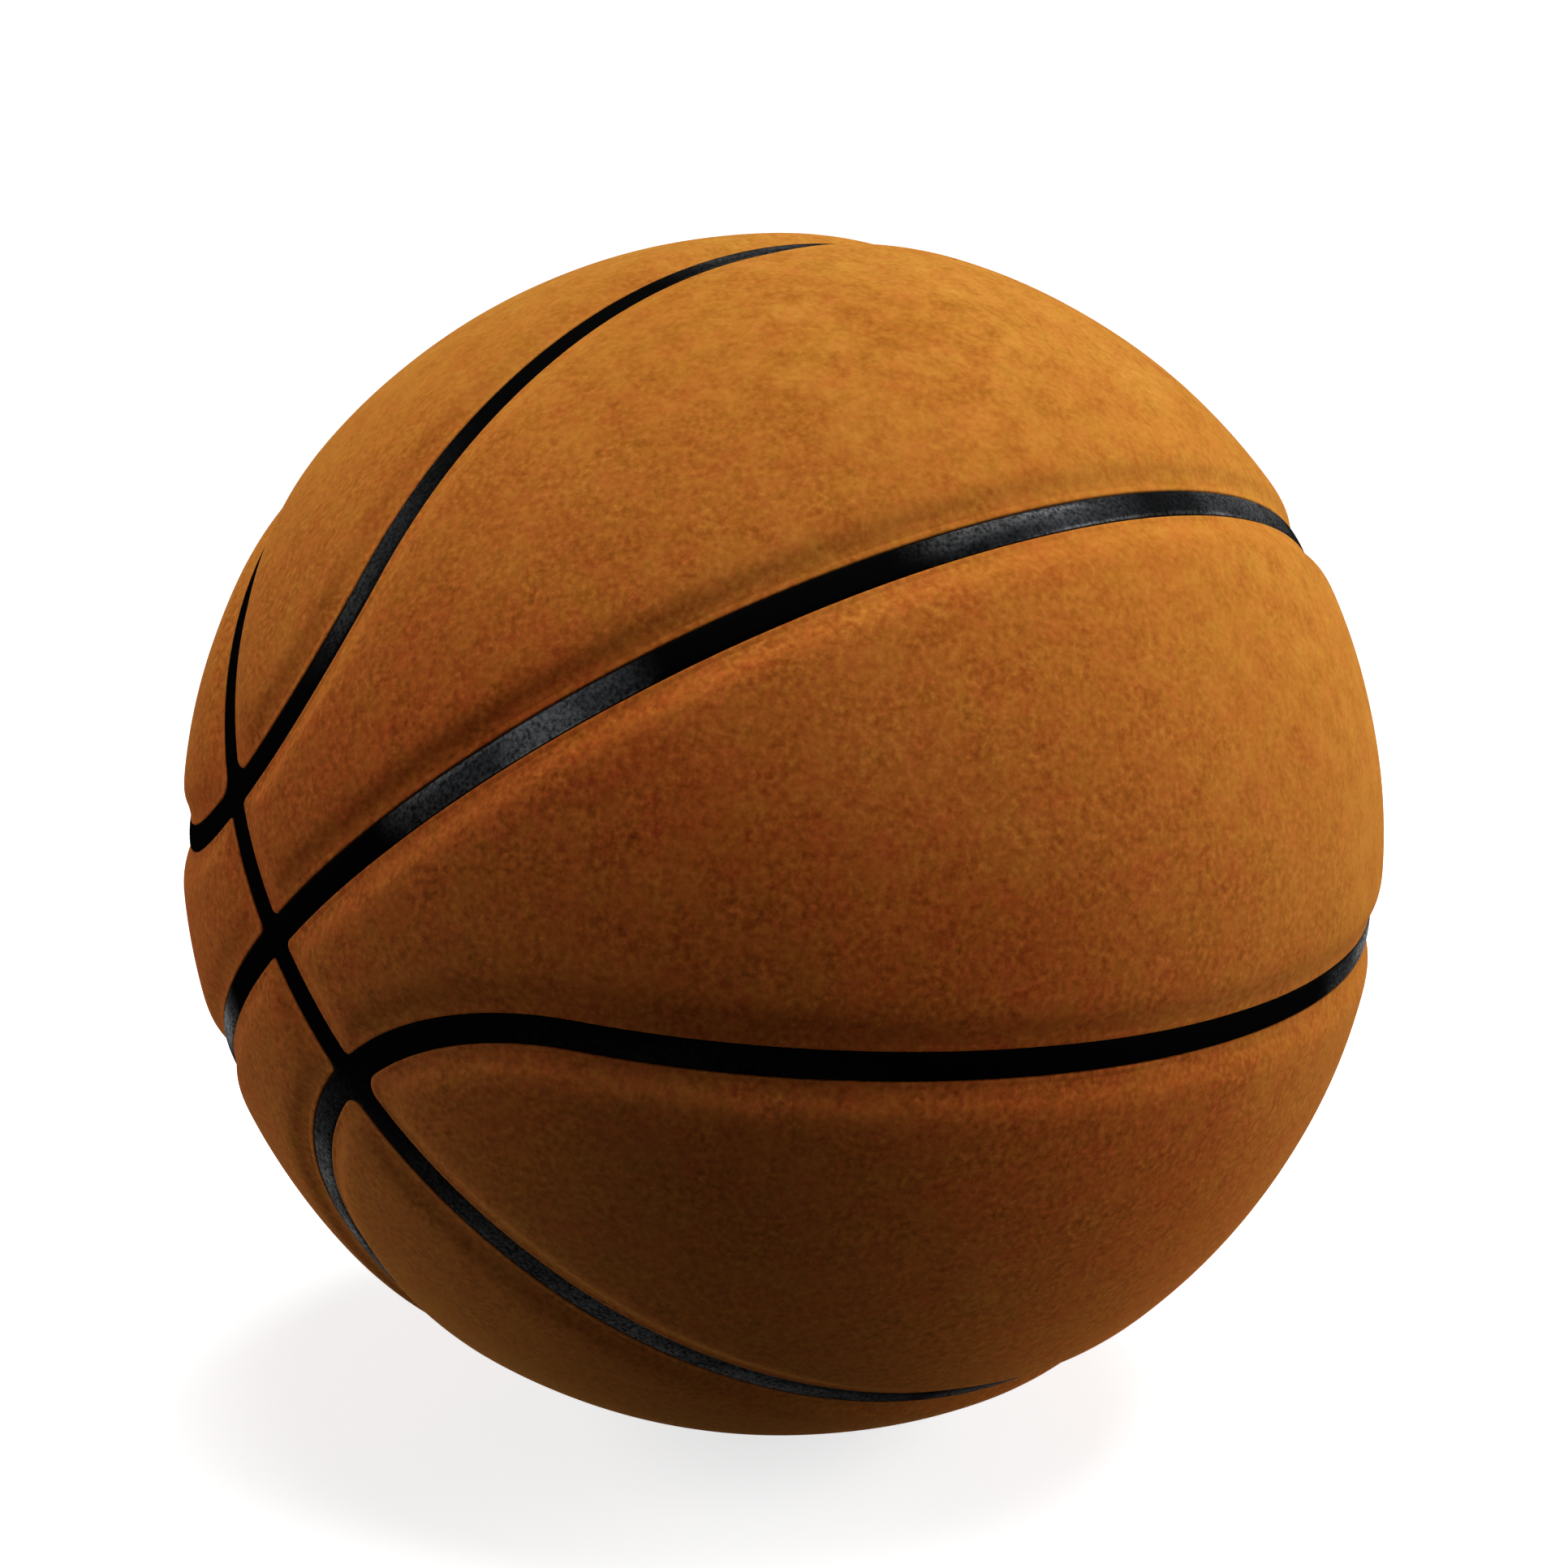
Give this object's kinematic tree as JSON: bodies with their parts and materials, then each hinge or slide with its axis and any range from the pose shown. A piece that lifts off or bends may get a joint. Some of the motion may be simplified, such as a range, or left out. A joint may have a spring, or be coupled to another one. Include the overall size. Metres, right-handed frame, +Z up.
{
  "type": "basketball",
  "caption": "Inflatable basketball with laid-in cover panels over foam pads, black moulded rubber ribs, a wound carcass, a bladder and a pull-out inflation valve.",
  "frame": {"origin": "the centre of the ball", "axes": "+Z is up with the ball lying as pictured, -Y points at the camera's side and +X is the camera's right; the ball touches what carries it at -Z"},
  "size_m": [0.2418, 0.242, 0.242],
  "materials": {
    "cover_leather": "matt brushed nap",
    "foam_sponge": "matt sponge",
    "carcass_rubber": "satin moulded",
    "winding_thread": "matt thread",
    "bladder_butyl": "smooth matt",
    "valve_rubber": "smooth satin"
  },
  "bodies": {
    "ball": {"bladder": "bladder_butyl", "valve_housing": "valve_rubber", "balance_patch": "bladder_butyl", "thread_winding": "winding_thread", "carcass": "carcass_rubber", "side_pad_1": "foam_sponge", "side_pad_2": "foam_sponge", "side_pad_3": "foam_sponge", "side_pad_4": "foam_sponge", "band_pad_1": "foam_sponge", "band_pad_2": "foam_sponge", "band_pad_3": "foam_sponge", "band_pad_4": "foam_sponge", "side_panel_1": "cover_leather", "side_panel_2": "cover_leather", "side_panel_3": "cover_leather", "side_panel_4": "cover_leather", "band_panel_1": "cover_leather", "band_panel_2": "cover_leather", "band_panel_3": "cover_leather", "band_panel_4": "cover_leather"},
    "plug": {"valve_plug": "valve_rubber"}
  },
  "joints": [
    {"name": "valve_pull", "type": "slide", "parent": "ball", "child": "plug", "axis": [-0.6403, 0.7303, -0.238], "range_m": [0, 0.026]}
  ]
}
